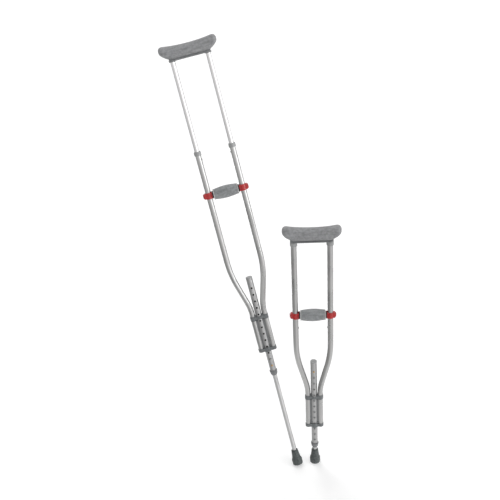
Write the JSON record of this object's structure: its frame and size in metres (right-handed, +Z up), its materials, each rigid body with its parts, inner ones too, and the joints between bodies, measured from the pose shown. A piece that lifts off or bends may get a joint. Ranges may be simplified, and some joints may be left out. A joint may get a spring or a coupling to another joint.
{
  "type": "underarm crutches",
  "caption": "Pair of telescoping aluminium underarm crutches with padded saddles, sliding handgrips in red clamps and rubber tips, one collapsed, one extended and leaning.",
  "frame": {"origin": "centre of the underside of the short crutch's rubber tip, on the floor", "axes": "+Z up the short crutch, X from one of its uprights to the other, -Y its front; the tall crutch stands to the left (-X) and leans left and back"},
  "size_m": [0.5806, 0.3352, 1.561],
  "materials": {
    "bright_tube": "smooth drawn, bright",
    "satin_tube": "satin anodised",
    "leg_tube_metal": "satin anodised",
    "collar_plastic": "moulded, fine grain",
    "bracket_plastic": "moulded, fine grain",
    "dark_plastic": "moulded, dull",
    "guide_plastic": "plain moulded",
    "washer_plastic": "plain moulded",
    "red_plastic": "semi-gloss moulded",
    "pad_foam": "closed-cell foam with a leathery skin",
    "grip_foam": "closed-cell foam skin",
    "tip_rubber": "moulded rubber",
    "rivet_steel": "zinc plated",
    "spring_steel": "plain",
    "button_steel": "polished",
    "button_brass": "polished"
  },
  "bodies": {
    "short_foot": {"short_inner_leg_tube": "bright_tube", "short_guide_bush": "guide_plastic", "short_rubber_tip": "tip_rubber", "short_foot_button_spring": "spring_steel"},
    "short_foot_button": {"short_foot_button": "button_brass"},
    "short_frame": {"short_left_upright": "satin_tube", "short_right_upright": "satin_tube", "short_upright_collars": "collar_plastic", "short_upper_bracket": "bracket_plastic", "short_lower_bracket": "bracket_plastic", "short_bracket_strips": "dark_plastic", "short_bracket_rivets": "rivet_steel", "short_leg_tube": "leg_tube_metal", "short_leg_cap": "collar_plastic", "short_leg_collar": "dark_plastic"},
    "short_saddle": {"short_saddle_tubes": "bright_tube", "short_saddle_core": "dark_plastic", "short_saddle_pins": "rivet_steel", "short_underarm_pad": "pad_foam", "short_saddle_button_springs": "spring_steel"},
    "short_left_saddle_button": {"short_left_saddle_button": "button_steel"},
    "short_right_saddle_button": {"short_right_saddle_button": "button_steel"},
    "short_grip": {"short_grip_sleeve": "grip_foam", "short_grip_rod": "rivet_steel", "short_grip_end_plates": "dark_plastic", "short_grip_washers": "washer_plastic", "short_grip_collars": "red_plastic", "short_grip_lock_springs": "spring_steel"},
    "short_left_grip_lock": {"short_left_grip_lock": "red_plastic"},
    "short_right_grip_lock": {"short_right_grip_lock": "red_plastic"},
    "tall_foot": {"tall_inner_leg_tube": "bright_tube", "tall_guide_bush": "guide_plastic", "tall_rubber_tip": "tip_rubber", "tall_foot_button_spring": "spring_steel"},
    "tall_foot_button": {"tall_foot_button": "button_brass"},
    "tall_frame": {"tall_left_upright": "satin_tube", "tall_right_upright": "satin_tube", "tall_upright_collars": "collar_plastic", "tall_upper_bracket": "bracket_plastic", "tall_lower_bracket": "bracket_plastic", "tall_bracket_strips": "dark_plastic", "tall_bracket_rivets": "rivet_steel", "tall_leg_tube": "leg_tube_metal", "tall_leg_cap": "collar_plastic", "tall_leg_collar": "dark_plastic"},
    "tall_saddle": {"tall_saddle_tubes": "bright_tube", "tall_saddle_core": "dark_plastic", "tall_saddle_pins": "rivet_steel", "tall_underarm_pad": "pad_foam", "tall_saddle_button_springs": "spring_steel"},
    "tall_left_saddle_button": {"tall_left_saddle_button": "button_steel"},
    "tall_right_saddle_button": {"tall_right_saddle_button": "button_steel"},
    "tall_grip": {"tall_grip_sleeve": "grip_foam", "tall_grip_rod": "rivet_steel", "tall_grip_end_plates": "dark_plastic", "tall_grip_washers": "washer_plastic", "tall_grip_collars": "red_plastic", "tall_grip_lock_springs": "spring_steel"},
    "tall_left_grip_lock": {"tall_left_grip_lock": "red_plastic"},
    "tall_right_grip_lock": {"tall_right_grip_lock": "red_plastic"}
  },
  "joints": [
    {"name": "short_leg_length", "type": "slide", "parent": "short_foot", "child": "short_frame", "axis": [0, 0, 1], "range_m": [0, 0.3048]},
    {"name": "short_foot_button_press", "type": "slide", "parent": "short_foot", "child": "short_foot_button", "axis": [0, 1, 0], "range_m": [0, 0.0037], "stiffness_N_per_m": 800, "springref_m": -0.0015, "deforming": ["short_foot_button_spring"]},
    {"name": "short_pad_height", "type": "slide", "parent": "short_frame", "child": "short_saddle", "axis": [0, 0, 1], "range_m": [0, 0.3048]},
    {"name": "short_grip_height", "type": "slide", "parent": "short_frame", "child": "short_grip", "axis": [0, 0, 1], "range_m": [-0.1016, 0.2032]},
    {"name": "short_left_saddle_button_press", "type": "slide", "parent": "short_saddle", "child": "short_left_saddle_button", "axis": [-1, 0, 0], "range_m": [0, 0.0033], "stiffness_N_per_m": 800, "springref_m": -0.0015, "deforming": ["short_saddle_button_springs"]},
    {"name": "short_left_grip_lock_pull", "type": "slide", "parent": "short_grip", "child": "short_left_grip_lock", "axis": [-1, 0, 0], "range_m": [0, 0.002], "stiffness_N_per_m": 600, "springref_m": -0.002, "deforming": ["short_grip_lock_springs"]},
    {"name": "short_right_saddle_button_press", "type": "slide", "parent": "short_saddle", "child": "short_right_saddle_button", "axis": [1, 0, 0], "range_m": [0, 0.0033], "stiffness_N_per_m": 800, "springref_m": -0.0015, "deforming": ["short_saddle_button_springs"]},
    {"name": "short_right_grip_lock_pull", "type": "slide", "parent": "short_grip", "child": "short_right_grip_lock", "axis": [1, 0, 0], "range_m": [0, 0.002], "stiffness_N_per_m": 600, "springref_m": -0.002, "deforming": ["short_grip_lock_springs"]},
    {"name": "tall_leg_length", "type": "slide", "parent": "tall_foot", "child": "tall_frame", "axis": [-0.2038, 0.1779, 0.9627], "range_m": [-0.3048, 0]},
    {"name": "tall_foot_button_press", "type": "slide", "parent": "tall_foot", "child": "tall_foot_button", "axis": [-0.1051, 0.9737, -0.2022], "range_m": [0, 0.0037], "stiffness_N_per_m": 800, "springref_m": -0.0015, "deforming": ["tall_foot_button_spring"]},
    {"name": "tall_pad_height", "type": "slide", "parent": "tall_frame", "child": "tall_saddle", "axis": [-0.2038, 0.1779, 0.9627], "range_m": [-0.3048, 0]},
    {"name": "tall_grip_height", "type": "slide", "parent": "tall_frame", "child": "tall_grip", "axis": [-0.2038, 0.1779, 0.9627], "range_m": [-0.2286, 0.0762]},
    {"name": "tall_left_saddle_button_press", "type": "slide", "parent": "tall_saddle", "child": "tall_left_saddle_button", "axis": [-0.9734, -0.1424, -0.1797], "range_m": [0, 0.0033], "stiffness_N_per_m": 800, "springref_m": -0.0015, "deforming": ["tall_saddle_button_springs"]},
    {"name": "tall_left_grip_lock_pull", "type": "slide", "parent": "tall_grip", "child": "tall_left_grip_lock", "axis": [-0.9734, -0.1424, -0.1797], "range_m": [0, 0.002], "stiffness_N_per_m": 600, "springref_m": -0.002, "deforming": ["tall_grip_lock_springs"]},
    {"name": "tall_right_saddle_button_press", "type": "slide", "parent": "tall_saddle", "child": "tall_right_saddle_button", "axis": [0.9734, 0.1424, 0.1797], "range_m": [0, 0.0033], "stiffness_N_per_m": 800, "springref_m": -0.0015, "deforming": ["tall_saddle_button_springs"]},
    {"name": "tall_right_grip_lock_pull", "type": "slide", "parent": "tall_grip", "child": "tall_right_grip_lock", "axis": [0.9734, 0.1424, 0.1797], "range_m": [0, 0.002], "stiffness_N_per_m": 600, "springref_m": -0.002, "deforming": ["tall_grip_lock_springs"]},
    {"name": "tall_lift_off", "type": "slide", "parent": "short_foot", "child": "tall_foot", "axis": [0, 0, 1], "range_m": [0, 0.3]}
  ]
}
